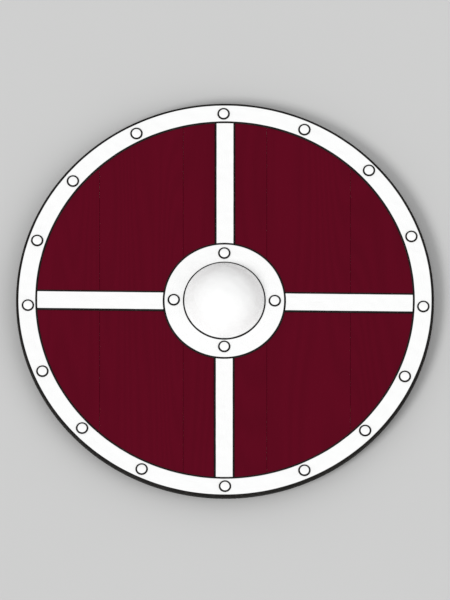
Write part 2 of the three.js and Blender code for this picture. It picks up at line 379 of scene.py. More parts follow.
@dataclass
class Piece:
    """One finished piece of the shield, on its way from a bmesh to the scene."""

    name: str
    replaces: str
    slot: Slot
    materials: Sequence[bpy.types.Material]
    sharp_angle: float = 32.0

    def settle(self, bm: bmesh.types.BMesh) -> None:
        """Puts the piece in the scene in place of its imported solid.

        Args:
            bm: The piece's mesh, in millimetres. It is used up.
        """
        limit = math.radians(self.sharp_angle)
        bmesh.ops.dissolve_degenerate(bm, dist=MERGE, edges=bm.edges)
        for face in bm.faces:
            face.smooth = True
        for edge in bm.edges:
            edge.smooth = edge.is_manifold and edge.calc_face_angle() < limit
        bmesh.ops.scale(bm, vec=Vector((MM, MM, MM)), verts=bm.verts)
        mesh = bpy.data.meshes.new(self.name)
        bm.to_mesh(mesh)
        bm.free()
        for material in self.materials:
            mesh.materials.append(material)
        obj = bpy.data.objects.new(self.name, mesh)
        bpy.context.scene.collection.objects.link(obj)
        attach(obj, "root")
        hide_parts(self.replaces)
        log.info("%s: %d faces", self.name, len(mesh.polygons))


# ---- Shader wiring -------------------------------------------------------------------------------


class Wiring:
    """Places nodes in one shader tree and joins their sockets."""

    def __init__(self, tree: bpy.types.NodeTree) -> None:
        """Starts on a tree."""
        self.tree = tree

    def feed(self, socket: Socket, value: Any) -> None:
        """Links a socket to another, or gives it a value.

        Args:
            socket: The socket that takes it.
            value: Another socket, or a value.
        """
        if isinstance(value, Socket):
            self.tree.links.new(value, socket)
        else:
            socket.default_value = value

    def node(self, kind: str, inputs: dict[Any, Any] | None = None, **settings: Any) -> bpy.types.Node:
        """Adds a node.

        Args:
            kind: The node's type.
            inputs: Sockets or values for its inputs, by name or number.
            settings: The node's own properties.

        Returns:
            The node.
        """
        made = self.tree.nodes.new(kind)
        for key, value in settings.items():
            setattr(made, key, value)
        for key, value in (inputs or {}).items():
            self.feed(made.inputs[key], value)
        return made

    def maths(self, operation: str, a: Any, b: Any = 0.0, clamp: bool = False) -> Socket:
        """One step of arithmetic.

        Args:
            operation: The step's name.
            a: The first socket or number.
            b: The second socket or number.
            clamp: Whether the result stays between 0 and 1.

        Returns:
            The result's socket.
        """
        made = self.node("ShaderNodeMath", {0: a, 1: b}, operation=operation, use_clamp=clamp)
        return made.outputs[0]

    def layered(self, *layers: tuple[Socket, float]) -> Socket:
        """A sum of values, kept between 0 and 1.

        Args:
            layers: Pairs of a value's socket and its share.

        Returns:
            The sum's socket.
        """
        (first, share), *others = layers
        total = self.maths("MULTIPLY", first, share)
        for value, share in others:
            total = self.maths("ADD", total, self.maths("MULTIPLY", value, share), clamp=True)
        return total

    def scaled(self, vector: Socket, by: tuple[float, float, float]) -> Socket:
        """A vector multiplied part by part."""
        made = self.node("ShaderNodeVectorMath", {0: vector, 1: by}, operation="MULTIPLY")
        return made.outputs[0]

    def span(self, value: Socket, low: Any, high: Any, to_low: Any = 0.0, to_high: Any = 1.0) -> Socket:
        """A value brought smoothly from one range to another.

        Args:
            value: The socket that is read.
            low: The value that becomes to_low.
            high: The value that becomes to_high.
            to_low: The lower result.
            to_high: The upper result.

        Returns:
            The result's socket.
        """
        made = self.node(
            "ShaderNodeMapRange",
            {"Value": value, "From Min": low, "From Max": high, "To Min": to_low, "To Max": to_high},
            interpolation_type="SMOOTHSTEP",
        )
        return made.outputs["Result"]

    def noise(self, vector: Socket, scale: Any, detail: float = 2.0, roughness: float = 0.5) -> Socket:
        """A noise value between about 0 and 1.

        Args:
            vector: Where it is read.
            scale: How many features fit in a unit.
            detail: How many finer layers it has.
            roughness: How strong the finer layers are.

        Returns:
            The value's socket.
        """
        inputs = {"Vector": vector, "Scale": scale, "Detail": detail, "Roughness": roughness}
        return self.node("ShaderNodeTexNoise", inputs).outputs["Fac"]

    def blend(self, share: Any, first: Any, second: Any) -> Socket:
        """A mix of two colours.

        Args:
            share: How much of the second colour there is.
            first: The first colour, as a socket or as red, green and blue.
            second: The second colour.

        Returns:
            The mixed colour's socket.
        """
        made = self.node("ShaderNodeMix", data_type="RGBA", clamp_factor=True)
        # A Mix node has sockets for numbers and for vectors too. These are the ones for colours.
        share_in, first_in, second_in, result = made.inputs[0], *made.inputs[6:8], made.outputs[2]
        self.feed(share_in, share)
        for socket, colour in ((first_in, first), (second_in, second)):
            self.feed(socket, (*colour, 1.0) if isinstance(colour, tuple) else colour)
        return result

    def relief(self, *layers: tuple[Socket, float]) -> Socket:
        """A bumped normal.

        Args:
            layers: Pairs of a height, from 0 to 1, and its full depth in millimetres. Each lies
                over the one before it.

        Returns:
            The normal's socket.
        """
        under: dict[str, Socket] = {}
        for height, depth in layers:
            inputs = {"Height": height, "Distance": depth * MM, "Strength": 1.0, **under}
            under = {"Normal": self.node("ShaderNodeBump", inputs).outputs["Normal"]}
        return under["Normal"]

    def object_place(self, run: GrainRun = GrainRun.ALONG_Y) -> Socket:
        """The place on the object, turned so that the grain runs along Y.

        Args:
            run: The way that the grain runs on the object.

        Returns:
            The place's socket.
        """
        place = self.node("ShaderNodeTexCoord").outputs["Object"]
        if run is GrainRun.ALONG_Y:
            return place
        turned = self.node("ShaderNodeMapping", {"Vector": place, "Rotation": run.value})
        return turned.outputs[0]

    def stroke_place(self, stroke: Stroke, drift: float = 0.05) -> Socket:
        """The place on the object, turned so that the brush ran along Y.

        Args:
            stroke: The way that the brush was drawn.
            drift: How fast Z changes along a stroke round the Z axis.

        Returns:
            The place's socket. For a stroke round the Z axis, X is the radius and what is left
            of Y and Z changes slowly along the circle, so the strokes close without a seam.
        """
        if stroke is Stroke.UP:
            return self.object_place()
        if stroke is Stroke.ACROSS:
            return self.object_place(GrainRun.ALONG_X)
        parts = self.node("ShaderNodeSeparateXYZ", {"Vector": self.object_place()})
        x, y, z = parts.outputs
        squares = self.maths("ADD", self.maths("MULTIPLY", x, x), self.maths("MULTIPLY", y, y))
        radius = self.maths("SQRT", squares)
        depth = self.maths("ADD", self.maths("MULTIPLY", y, drift), z)
        return self.node("ShaderNodeCombineXYZ", {"X": radius, "Y": x, "Z": depth}).outputs[0]

    def board_number(self, width: float) -> Socket:
        """Which board of the given width a place lies on, counted from the middle one."""
        across = self.node("ShaderNodeSeparateXYZ", {"Vector": self.object_place()})
        return self.maths("ROUND", self.maths("DIVIDE", across.outputs["X"], width))


class Effect:
    """A surface effect kept as a shader node group, built once and placed in many materials."""

    name: str = ""
    takes: dict[str, float] = {}
    gives: tuple[str, ...] = ()

    def wire(self, w: Wiring, given: Any) -> dict[str, Socket]:
        """Wires the inside of the group.

        Args:
            w: The group's wiring.
            given: The group's inputs.

        Returns:
            A socket for each of the group's outputs.
        """
        raise NotImplementedError

    def tree(self) -> bpy.types.NodeTree:
        """The group's tree, made when it is first asked for.

        Returns:
            The tree, with a socket for each input and output.
        """
        made = bpy.data.node_groups.get(self.name)
        if made is not None:
            return made
        made = bpy.data.node_groups.new(self.name, "ShaderNodeTree")
        made.interface.new_socket("Vector", in_out="INPUT", socket_type="NodeSocketVector")
        for label, default in self.takes.items():
            socket = made.interface.new_socket(label, in_out="INPUT", socket_type="NodeSocketFloat")
            socket.default_value = default
        for label in self.gives:
            made.interface.new_socket(label, in_out="OUTPUT", socket_type="NodeSocketFloat")
        w = Wiring(made)
        entry = w.node("NodeGroupInput")
        leave = w.node("NodeGroupOutput")
        for label, socket in self.wire(w, entry.outputs).items():
            w.feed(leave.inputs[label], socket)
        return made

    def place(self, w: Wiring, vector: Socket, **values: Any) -> Any:
        """Places the group in a material.

        Args:
            w: The material's wiring.
            vector: Where the effect is read.
            values: Values or sockets for the group's inputs, with _ for a space in their names.

        Returns:
            The group's outputs.
        """
        made = w.node("ShaderNodeGroup", node_tree=self.tree())
        w.feed(made.inputs["Vector"], vector)
        for label, value in values.items():
            w.feed(made.inputs[label.replace("_", " ").capitalize()], value)
        return made.outputs


class WoodGrain(Effect):
    """The rings, fibres and pores of a board whose grain runs along Y."""

    name = "wood_grain"
    takes = {"Rings": 26.0, "Fibres": 700.0, "Board": 0.0}
    gives = ("Figure", "Fibre", "Pores")
    board_step = 1.37
    ring_stretch = (1.0, 0.09, 1.0)
    fibre_stretch = (1.0, 0.035, 1.0)
    pit_stretch = (1.0, 0.07, 1.0)
    swells = 7.0
    wanders = 60.0
    wander_share = 0.03
    pits = 1900.0
    figure_span = (0.1, 1.0)
    pore_span = (0.60, 0.74)

    def wire(self, w: Wiring, given: Any) -> dict[str, Socket]:
        """Draws the rings as contour lines of a long smooth swell.

        Args:
            w: The group's wiring.
            given: The group's inputs.

        Returns:
            A socket for each of the group's outputs.
        """
        board = given["Board"]
        shift = {"Y": w.maths("MULTIPLY", board, self.board_step), "Z": board}
        apart = w.node("ShaderNodeCombineXYZ", shift).outputs[0]
        place = w.node("ShaderNodeVectorMath", {0: given["Vector"], 1: apart}).outputs[0]
        along = w.scaled(place, self.ring_stretch)
        swell = w.noise(along, self.swells, detail=1.0)
        wander = w.maths("MULTIPLY", w.noise(along, self.wanders), self.wander_share)
        rings = w.maths("MULTIPLY", w.maths("ADD", swell, wander), given["Rings"])
        figure = w.maths("MULTIPLY", w.maths("PINGPONG", rings, 0.5), 2.0)
        fibre_place = w.scaled(place, self.fibre_stretch)
        pits = w.noise(w.scaled(place, self.pit_stretch), self.pits, detail=1.0)
        return {
            "Figure": w.span(figure, *self.figure_span),
            "Fibre": w.noise(fibre_place, given["Fibres"], detail=3.0, roughness=0.6),
            "Pores": w.span(pits, *self.pore_span),
        }


class BrushMarks(Effect):
    """The ridges that a brush leaves along Y, and the patches where it was lifted."""

    name = "brush_marks"
    takes = {"Bristles": 420.0}
    gives = ("Ridges", "Patches")
    ridge_stretch = (1.0, 0.05, 1.0)
    patch_stretch = (1.0, 0.35, 1.0)
    patches = 16.0

    def wire(self, w: Wiring, given: Any) -> dict[str, Socket]:
        """Draws long thin ridges over slow patches.

        Args:
            w: The group's wiring.
            given: The group's inputs.

        Returns:
            A socket for each of the group's outputs.
        """
        strokes = w.scaled(given["Vector"], self.ridge_stretch)
        lifts = w.scaled(given["Vector"], self.patch_stretch)
        return {
            "Ridges": w.noise(strokes, given["Bristles"], roughness=0.65),
            "Patches": w.noise(lifts, self.patches, detail=3.0),
        }


class PaintCover(Effect):
    """Where paint covers iron: all that lies inside a hand-painted edge."""

    name = "paint_cover"
    takes = {"Reach": 0.0, "Waver": 0.5, "Softness": 0.22}
    gives = ("Cover",)
    wavers = 45.0

    def wire(self, w: Wiring, given: Any) -> dict[str, Socket]:
        """Moves the edge of the paint to and fro a little.

        Args:
            w: The group's wiring.
            given: The group's inputs.

        Returns:
            A socket for each of the group's outputs.
        """
        waver = w.noise(given["Vector"], self.wavers, detail=3.0)
        to_and_fro = w.maths("SUBTRACT", waver, 0.5)
        edge = w.maths("MULTIPLY", to_and_fro, given["Waver"])
        place = w.maths("ADD", given["Reach"], edge)
        bare = w.maths("MULTIPLY", given["Softness"], -1.0)
        return {"Cover": w.span(place, bare, given["Softness"])}


class HammerDents(Effect):
    """The shallow dents that a planishing hammer leaves in plate."""

    name = "hammer_dents"
    takes = {"Blows": 55.0}
    gives = ("Dents",)
    smoothness = 0.8
    dent_span = (0.1, 0.75)

    def wire(self, w: Wiring, given: Any) -> dict[str, Socket]:
        """Draws overlapping round dents.

        Args:
            w: The group's wiring.
            given: The group's inputs.

        Returns:
            A socket for each of the group's outputs.
        """
        inputs = {"Vector": given["Vector"], "Scale": given["Blows"], "Smoothness": self.smoothness}
        dents = w.node("ShaderNodeTexVoronoi", inputs, feature="SMOOTH_F1")
        return {"Dents": w.span(dents.outputs["Distance"], *self.dent_span)}


# ---- Finishes ------------------------------------------------------------------------------------


@dataclass(frozen=True)
class Finish:
    """A finish that can be made into a material."""

    name: str

    def surface(self, w: Wiring) -> dict[str, Any]:
        """Wires the finish.

        Args:
            w: The material's wiring.

        Returns:
            Sockets or values for the inputs of the shader.
        """
        raise NotImplementedError

    def make(self) -> bpy.types.Material:
        """The finish as a material.

        Returns:
            The material, made when it is first asked for.
        """
        made = bpy.data.materials.get(self.name)
        if made is not None:
            return made
        made = bpy.data.materials.new(self.name)
        made.use_nodes = True
        made.node_tree.nodes.clear()
        w = Wiring(made.node_tree)
        shader = w.node("ShaderNodeBsdfPrincipled", self.surface(w))
        w.node("ShaderNodeOutputMaterial", {"Surface": shader.outputs[0]})
        return made


@dataclass(frozen=True)
class MaroonPaint(Finish):
    """Matt maroon paint brushed along the planks, with the grain telling through it."""

    name: str = "maroon_paint"
    colour: Colour = (0.1110, 0.0014, 0.0116)
    deep: Colour = (0.0850, 0.0010, 0.0088)
    rings: float = 26.0
    fibres: float = 650.0
    bristles: float = 380.0
    figure_share: float = 0.25
    patch_share: float = 0.30
    fibre_share: float = 0.20
    plank_share: float = 0.20
    fibre_depth: float = 0.30
    ridge_depth: float = 0.22
    roughness: tuple[float, float] = (0.56, 0.70)
    specular: float = 0.04

    def surface(self, w: Wiring) -> dict[str, Any]:
        """Wires paint over grain.

        Args:
            w: The material's wiring.

        Returns:
            Sockets or values for the inputs of the shader.
        """
        place = w.object_place()
        plank = w.board_number(PLANK_WIDTH)
        grain = WoodGrain().place(w, place, rings=self.rings, fibres=self.fibres, board=plank)
        brush = BrushMarks().place(w, place, bristles=self.bristles)
        toned = w.node("ShaderNodeTexWhiteNoise", {"W": plank}, noise_dimensions="1D")
        depth = w.layered(
            (grain["Figure"], self.figure_share),
            (brush["Patches"], self.patch_share),
            (grain["Fibre"], self.fibre_share),
            (toned.outputs["Value"], self.plank_share),
        )
        return {
            "Base Color": w.blend(depth, self.colour, self.deep),
            "Roughness": w.span(brush["Ridges"], *NOISE_SPREAD, *self.roughness),
            "Specular IOR Level": self.specular,
            "Normal": w.relief((grain["Fibre"], self.fibre_depth), (brush["Ridges"], self.ridge_depth)),
        }


@dataclass(frozen=True)
class WhitePaintedIron(Finish):
    """White oil paint brushed on hammered plate, whose edges stay black."""

    stroke: Stroke = Stroke.UP
    paint: Colour = (0.932, 0.932, 0.928)
    thin_paint: Colour = (0.82, 0.815, 0.80)
    iron: Colour = (0.005, 0.0048, 0.0046)
    iron_worn: Colour = (0.014, 0.0130, 0.0120)
    iron_rubbed: Colour = (0.048, 0.043, 0.039)
    bristles: float = 520.0
    blows: float = 60.0
    patches: float = 18.0
    patch_span: tuple[float, float] = (0.4, 0.65)
    thin_span: tuple[float, float] = (0.55, 0.8)
    thinnest: float = 0.6
    bare_span: tuple[float, float] = (-1.4, -2.6)
    flecks: float = 420.0
    fleck_span: tuple[float, float] = (0.42, 0.72)
    holds: float = 45.0
    least_held: float = 0.25
    bright_metal: float = 0.5
    dent_depth: float = 0.5
    ridge_depth: float = 0.16
    paint_depth: float = 0.10
    roughness: tuple[float, float] = (0.45, 0.60)
    specular: float = 0.05
    gloss: float = 0.35
    gloss_roughness: float = 0.28

    def surface(self, w: Wiring) -> dict[str, Any]:
        """Wires paint over iron by the piece's own reach.

        Args:
            w: The material's wiring.

        Returns:
            Sockets or values for the inputs of the shader.
        """
        place = w.object_place()
        reach = w.node("ShaderNodeAttribute", attribute_name=REACH).outputs["Fac"]
        cover = PaintCover().place(w, place, reach=reach)["Cover"]
        brush = BrushMarks().place(w, w.stroke_place(self.stroke), bristles=self.bristles)
        dents = HammerDents().place(w, place, blows=self.blows)["Dents"]
        patches = w.noise(place, self.patches, detail=3.0)
        thin = w.span(brush["Ridges"], *self.thin_span, 0.0, self.thinnest)
        thin = w.maths("MULTIPLY", thin, w.span(patches, *self.patch_span))
        white = w.blend(thin, self.paint, self.thin_paint)
        black = w.blend(patches, self.iron, self.iron_worn)
        bare = w.span(reach, *self.bare_span)
        flecks = w.span(w.noise(place, self.flecks, detail=4.0, roughness=0.6), *self.fleck_span)
        held = w.span(w.noise(place, self.holds), *NOISE_SPREAD, self.least_held, 1.0)
        rubbed = w.maths("MULTIPLY", bare, w.maths("MULTIPLY", flecks, held))
        black = w.blend(rubbed, black, self.iron_rubbed)
        ridges = (brush["Ridges"], self.ridge_depth)
        return {
            "Base Color": w.blend(cover, black, white),
            "Metallic": w.maths("MULTIPLY", rubbed, self.bright_metal),
            "Roughness": w.span(brush["Ridges"], *NOISE_SPREAD, *self.roughness),
            "Specular IOR Level": self.specular,
            "Coat Weight": w.maths("MULTIPLY", cover, self.gloss),
            "Coat Roughness": self.gloss_roughness,
            "Normal": w.relief((dents, self.dent_depth), ridges, (cover, self.paint_depth)),
        }


@dataclass(frozen=True)
class BlackenedIron(Finish):
    """Iron blackened with oil in the fire."""

    name: str = "blackened_iron"
    colour: Colour = (0.022, 0.020, 0.019)
    worn: Colour = (0.085, 0.072, 0.062)
    blows: float = 180.0
    rubs: float = 220.0
    rub_span: tuple[float, float] = (0.5, 0.72)
    dent_depth: float = 0.25
    metallic: float = 0.7
    roughness: tuple[float, float] = (0.55, 0.4)

    def surface(self, w: Wiring) -> dict[str, Any]:
        """Wires dark scale with lighter rubbed patches.

        Args:
            w: The material's wiring.

        Returns:
            Sockets or values for the inputs of the shader.
        """
        place = w.object_place()
        dents = HammerDents().place(w, place, blows=self.blows)["Dents"]
        rubbed = w.span(w.noise(place, self.rubs, detail=4.0, roughness=0.6), *self.rub_span)
        return {
            "Base Color": w.blend(rubbed, self.colour, self.worn),
            "Metallic": self.metallic,
            "Roughness": w.span(rubbed, 0.0, 1.0, *self.roughness),
            "Normal": w.relief((dents, self.dent_depth)),
        }


@dataclass(frozen=True)
class OiledWood(Finish):
    """Bare wood rubbed with oil."""

    light: Colour = (0.46, 0.29, 0.14)
    dark: Colour = (0.30, 0.165, 0.068)
    run: GrainRun = GrainRun.ALONG_Y
    rings: float = 26.0
    fibres: float = 650.0
    bristles: float = 200.0
    figure_share: float = 0.45
    fibre_share: float = 0.35
    patch_share: float = 0.2
    pores: float = 0.3
    pore_shade: float = 0.45
    board_width: float = 0.0
    handled: float = 0.0
    handled_core: float = 0.7
    handled_dark: float = 0.5
    handled_polish: float = 0.18
    fibre_depth: float = 0.10
    pore_depth: float = 0.2
    roughness: tuple[float, float] = (0.50, 0.66)
    specular: float = 0.3

    def surface(self, w: Wiring) -> dict[str, Any]:
        """Wires the grain, and the dark polish of the part that is held.

        Args:
            w: The material's wiring.

        Returns:
            Sockets or values for the inputs of the shader.
        """
        place = w.object_place(self.run)
        board: Any = w.board_number(self.board_width) if self.board_width else 0.0
        grain = WoodGrain().place(w, place, rings=self.rings, fibres=self.fibres, board=board)
        brush = BrushMarks().place(w, place, bristles=self.bristles)
        tone = w.layered(
            (grain["Figure"], self.figure_share),
            (grain["Fibre"], self.fibre_share),
            (brush["Patches"], self.patch_share),
        )
        colour = w.blend(tone, self.light, self.dark)
        deep = tuple(self.pore_shade * part for part in self.dark)
        colour = w.blend(w.maths("MULTIPLY", grain["Pores"], self.pores), colour, deep)
        rough = w.span(grain["Fibre"], *NOISE_SPREAD, *self.roughness)
        if self.handled:
            along = w.node("ShaderNodeSeparateXYZ", {"Vector": w.object_place()})
            distance = w.maths("ABSOLUTE", along.outputs["X"])
            held = w.span(distance, self.handled, self.handled_core * self.handled)
            colour = w.blend(w.maths("MULTIPLY", held, self.handled_dark), colour, self.dark)
            rough = w.maths("SUBTRACT", rough, w.maths("MULTIPLY", held, self.handled_polish))
        between_pores = w.maths("SUBTRACT", 1.0, grain["Pores"])
        pore_relief = (between_pores, self.pore_depth * self.pores)
        return {
            "Base Color": colour,
            "Roughness": rough,
            "Specular IOR Level": self.specular,
            "Normal": w.relief((grain["Fibre"], self.fibre_depth), pore_relief),
        }


@dataclass(frozen=True)
class StudioPaper(Finish):
    """The plain pale paper that the shield lies on."""

    name: str = "studio_paper"
    colour: Colour = (0.592, 0.592, 0.588)
    shade: Colour = (0.578, 0.578, 0.574)
    clouds: float = 3.0
    roughness: float = 0.9
    specular: float = 0.1

    def surface(self, w: Wiring) -> dict[str, Any]:
        """Wires a faint unevenness.

        Args:
            w: The material's wiring.

        Returns:
            Sockets or values for the inputs of the shader.
        """
        tone = w.noise(w.object_place(), self.clouds)
        return {
            "Base Color": w.blend(tone, self.colour, self.shade),
            "Roughness": self.roughness,
            "Specular IOR Level": self.specular,
        }


@dataclass(frozen=True)
class Finishes:
    """All of the shield's materials."""

    maroon: bpy.types.Material = field(default_factory=MaroonPaint().make)
    white_iron: dict[Stroke, bpy.types.Material] = field(
        default_factory=lambda: {
            stroke: WhitePaintedIron(f"white_painted_iron_{stroke.value}", stroke).make()
            for stroke in Stroke
        }
    )
    black_iron: bpy.types.Material = field(default_factory=BlackenedIron().make)
    peened_iron: bpy.types.Material = field(
        default_factory=BlackenedIron(
            "peened_iron", colour=(0.11, 0.104, 0.098), worn=(0.36, 0.34, 0.32)
        ).make
    )
    bare_plank: bpy.types.Material = field(
        default_factory=OiledWood("bare_plank", pores=0.12, board_width=PLANK_WIDTH).make
    )
    ash: bpy.types.Material = field(
        default_factory=OiledWood(
            "oiled_ash",
            light=(0.52, 0.34, 0.17),
            dark=(0.33, 0.19, 0.085),
            run=GrainRun.ALONG_X,
            rings=40.0,
            fibres=800.0,
            pores=0.4,
            handled=0.075,
        ).make
    )
    oak: bpy.types.Material = field(
        default_factory=OiledWood(
            "oak_end_grain",
            light=(0.25, 0.135, 0.058),
            dark=(0.13, 0.066, 0.027),
            run=GrainRun.ALONG_Z,
            rings=90.0,
            fibres=1500.0,
        ).make
    )


# ---- Woodwork ------------------------------------------------------------------------------------


@dataclass
class Planks:
    """The five planks of the board, painted on the face and bare behind."""

    levels: Levels
    finishes: Finishes
    names: tuple[str, ...] = ("far_left", "left", "middle", "right", "far_right")
    hand_hole_r: float = 60.0
    hand_hole_slack: float = 0.5
    shortest_seam: float = 60.0
    seam_rounding: float = 0.7
    hole_rounding: float = 1.6
    paint_run_in: float = 3.0
    cupping: float = 0.22
    swell: float = 0.16
    swell_size: float = 45.0
    swell_stretch: float = 4.0
    grid_x: float = 15.0
    grid_y: float = 40.0
    first_seed: float = 0.3
    seed_step: float = 1.7

    def on_seam(self, edge: bmesh.types.BMEdge) -> bool:
        """Whether an edge runs along the long side of a plank."""
        a, b = (vert.co for vert in edge.verts)
        return is_level(edge) and abs(a.x - b.x) < NEAR and abs(a.y - b.y) > self.shortest_seam

    def on_hand_hole(self, edge: bmesh.types.BMEdge) -> bool:
        """Whether an edge runs round the mouth of the hand hole."""
        off = max(abs(vert.co.xy.length - self.hand_hole_r) for vert in edge.verts)
        return is_level(edge) and off < self.hand_hole_slack

    def relax_face(self, bm: bmesh.types.BMesh, seed: float) -> None:
        """Gives the face of a plank the slight cupping and swell of a planed board.

        Args:
            bm: The plank's mesh.
            seed: Sets one plank's swell apart from the next.
        """
        xs = [vert.co.x for vert in bm.verts]
        middle, half = (max(xs) + min(xs)) / 2.0, (max(xs) - min(xs)) / 2.0
        for vert in bm.verts:
            if abs(vert.co.z - self.levels.face) > NEAR:
                continue
            flat = Vector((vert.co.x, vert.co.y / self.swell_stretch, 0.0))
            vert.co.z -= self.cupping * ((vert.co.x - middle) / half) ** 2
            vert.co.z += self.swell * ripple(flat, self.swell_size, seed)

    def build_plank(self, name: str, seed: float) -> None:
        """Makes one plank.

        Args:
            name: Which plank it is.
            seed: Sets its swell apart.
        """
        node = f"plank_{name}"
        low, high = node_box(node)
        paint_low = self.levels.face - self.paint_run_in
        bm = copy_solid(node)
        round_edges(bm, self.seam_rounding, segments=2, wanted=self.on_seam)
        round_edges(bm, self.hole_rounding, segments=3, wanted=self.on_hand_hole)
        slice_along(bm, Z, (paint_low,))
        divide_along(bm, X, low.x, high.x, max(2, round((high.x - low.x) / self.grid_x)))
        divide_along(bm, Y, low.y, high.y, max(2, round((high.y - low.y) / self.grid_y)))
        self.relax_face(bm, seed)
        for face in bm.faces:
            face.material_index = 0 if face.calc_center_median().z > paint_low else 1
        materials = (self.finishes.maroon, self.finishes.bare_plank)
        Piece(f"board_{name}", node, Slot.PLANKS, materials).settle(bm)

    def build(self) -> None:
        """Makes all of the planks."""
        for number, name in enumerate(self.names):
            self.build_plank(name, self.seed_step * number + self.first_seed)


@dataclass
class Battens:
    """The two battens that the shield lies on."""

    finishes: Finishes
    names: tuple[str, ...] = ("upper", "lower")
    rounding: float = 1.8
    shortest_rounded: float = 9.0
    grid: float = 22.0
    unevenness: float = 0.35
    unevenness_size: float = 60.0
    side_slack: float = 0.05

    def worth_rounding(self, edge: bmesh.types.BMEdge) -> bool:
        """Whether an edge is a long one, and not the mouth of a peg hole."""
        return edge.calc_length() > self.shortest_rounded

    def build_batten(self, name: str) -> None:
        """Makes one batten.

        Args:
            name: Which batten it is.
        """
        node = f"batten_{name}"
        low, high = node_box(node)
        bm = copy_solid(node)
        round_edges(bm, self.rounding, segments=3, wanted=self.worth_rounding)
        divide_along(bm, X, low.x, high.x, round((high.x - low.x) / self.grid))
        for vert in bm.verts:
            for side, inward in ((low.y, 1.0), (high.y, -1.0)):
                if abs(vert.co.y - side) < self.side_slack:
                    worn = abs(ripple(vert.co, self.unevenness_size, side))
                    vert.co.y += inward * self.unevenness * worn
        Piece(f"ash_batten_{name}", node, Slot.ASH, (self.finishes.ash,)).settle(bm)

    def build(self) -> None:
        """Makes both battens."""
        for name in self.names:
            self.build_batten(name)


@dataclass
class Grip:
    """The long carved grip: an oval handle across the hand hole, with a pad and an arm each side."""

    levels: Levels
    finishes: Finishes
    half_length: float = 330.0
    pad_half_width: float = 19.0
    tip_half_width: float = 12.0
    handle_half_width: float = 15.0
    handle_taper: float = 0.6
    handle_top: float = 28.6
    handle_squareness: float = 2.1
    pad_squareness: float = 5.5
    tip_rise: float = 6.7
    handle_end: float = 40.0
    pad_start: float = 55.0
    pad_end: float = 112.0
    nose: float = 7.0
    nose_closing: float = 0.97
    nose_least_width: float = 0.45
    nose_least_depth: float = 0.35
    nose_places: tuple[float, ...] = (0.7, 0.42, 0.2, 0.06, 0.0)
    section_points: int = 28
    knife_marks: float = 0.5
    knife_mark_size: float = 30.0
    knife_mark_seed: float = 4.0
    uncarved_top: float = 1.0

    def stations(self) -> list[float]:
        """Places along the right half of the grip where its section is drawn.

        Returns:
            Distances from the middle.
        """
        handle = steps_between(0.0, self.handle_end, 5)
        shoulder = steps_between(self.handle_end, self.pad_start, 9)[1:]
        pad = steps_between(self.pad_start, self.pad_end, 4)[1:]
        arm = steps_between(self.pad_end, self.half_length - self.nose, 10)[1:]
        nose = [self.half_length - self.nose * share for share in self.nose_places]
        return handle + shoulder + pad + arm + nose

    def section(self, x: float) -> tuple[float, float, float, float]:
        """The size of the grip at one place.

        Args:
            x: How far the place is from the middle.

        Returns:
            Half its width, its underside, its top, and how square it is.
        """
        low = node_box("hand_grip")[0].z
        shoulder = ease(x, self.handle_end, self.pad_start)
        arm = max(0.0, (x - self.pad_end) / (self.half_length - self.pad_end))
        half_width = self.handle_half_width - self.handle_taper * ease(x, 0.0, self.handle_end)
        half_width += (self.pad_half_width - half_width) * shoulder
        half_width += (self.tip_half_width - self.pad_half_width) * arm
        top = self.handle_top + (self.levels.timber - self.handle_top) * shoulder
        under = low + self.tip_rise * arm
        into_nose = max(0.0, (x - self.half_length + self.nose) / self.nose)
        shrink = math.sqrt(max(0.0, 1.0 - (self.nose_closing * into_nose) ** 2))
        depth_share = self.nose_least_depth + (1.0 - self.nose_least_depth) * shrink
        width_share = self.nose_least_width + (1.0 - self.nose_least_width) * shrink
        squareness = self.handle_squareness + self.pad_squareness * shoulder
        return half_width * width_share, top - (top - under) * depth_share, top, squareness

    def ring(self, bm: bmesh.types.BMesh, x: float) -> list[bmesh.types.BMEdge]:
        """Draws the section at one place.

        Args:
            bm: The grip's mesh.
            x: The place, from the middle.

        Returns:
            The edges of the section.
        """
        half_width, under, top, squareness = self.section(abs(x))
        made = bmesh.ops.create_circle(bm, segments=self.section_points, radius=1.0)
        for vert in made["verts"]:
            across, up = (math.copysign(abs(part) ** (2.0 / squareness), part) for part in vert.co.xy)
            height = (top + under) / 2.0 + up * (top - under) / 2.0
            vert.co = Vector((x, across * half_width, height))
        return list({edge for vert in made["verts"] for edge in vert.link_edges})

    def build(self) -> None:
        """Makes the grip."""
        bm = bmesh.new()
        right = self.stations()
        places = [-x for x in reversed(right[1:])] + right
        rings = [self.ring(bm, x) for x in places]
        for one, other in zip(rings, rings[1:]):
            bmesh.ops.bridge_loops(bm, edges=one + other)
        for end in (rings[0], rings[-1]):
            bmesh.ops.contextual_create(bm, geom=end)
        bmesh.ops.recalc_face_normals(bm, faces=bm.faces)
        for vert in bm.verts:
            if vert.co.z < self.levels.timber - self.uncarved_top:
                depth = self.knife_marks * dip(vert.co, self.knife_mark_size, self.knife_mark_seed)
                vert.co.z += depth
        Piece("carved_grip", "hand_grip", Slot.ASH, (self.finishes.ash,), sharp_angle=50.0).settle(bm)


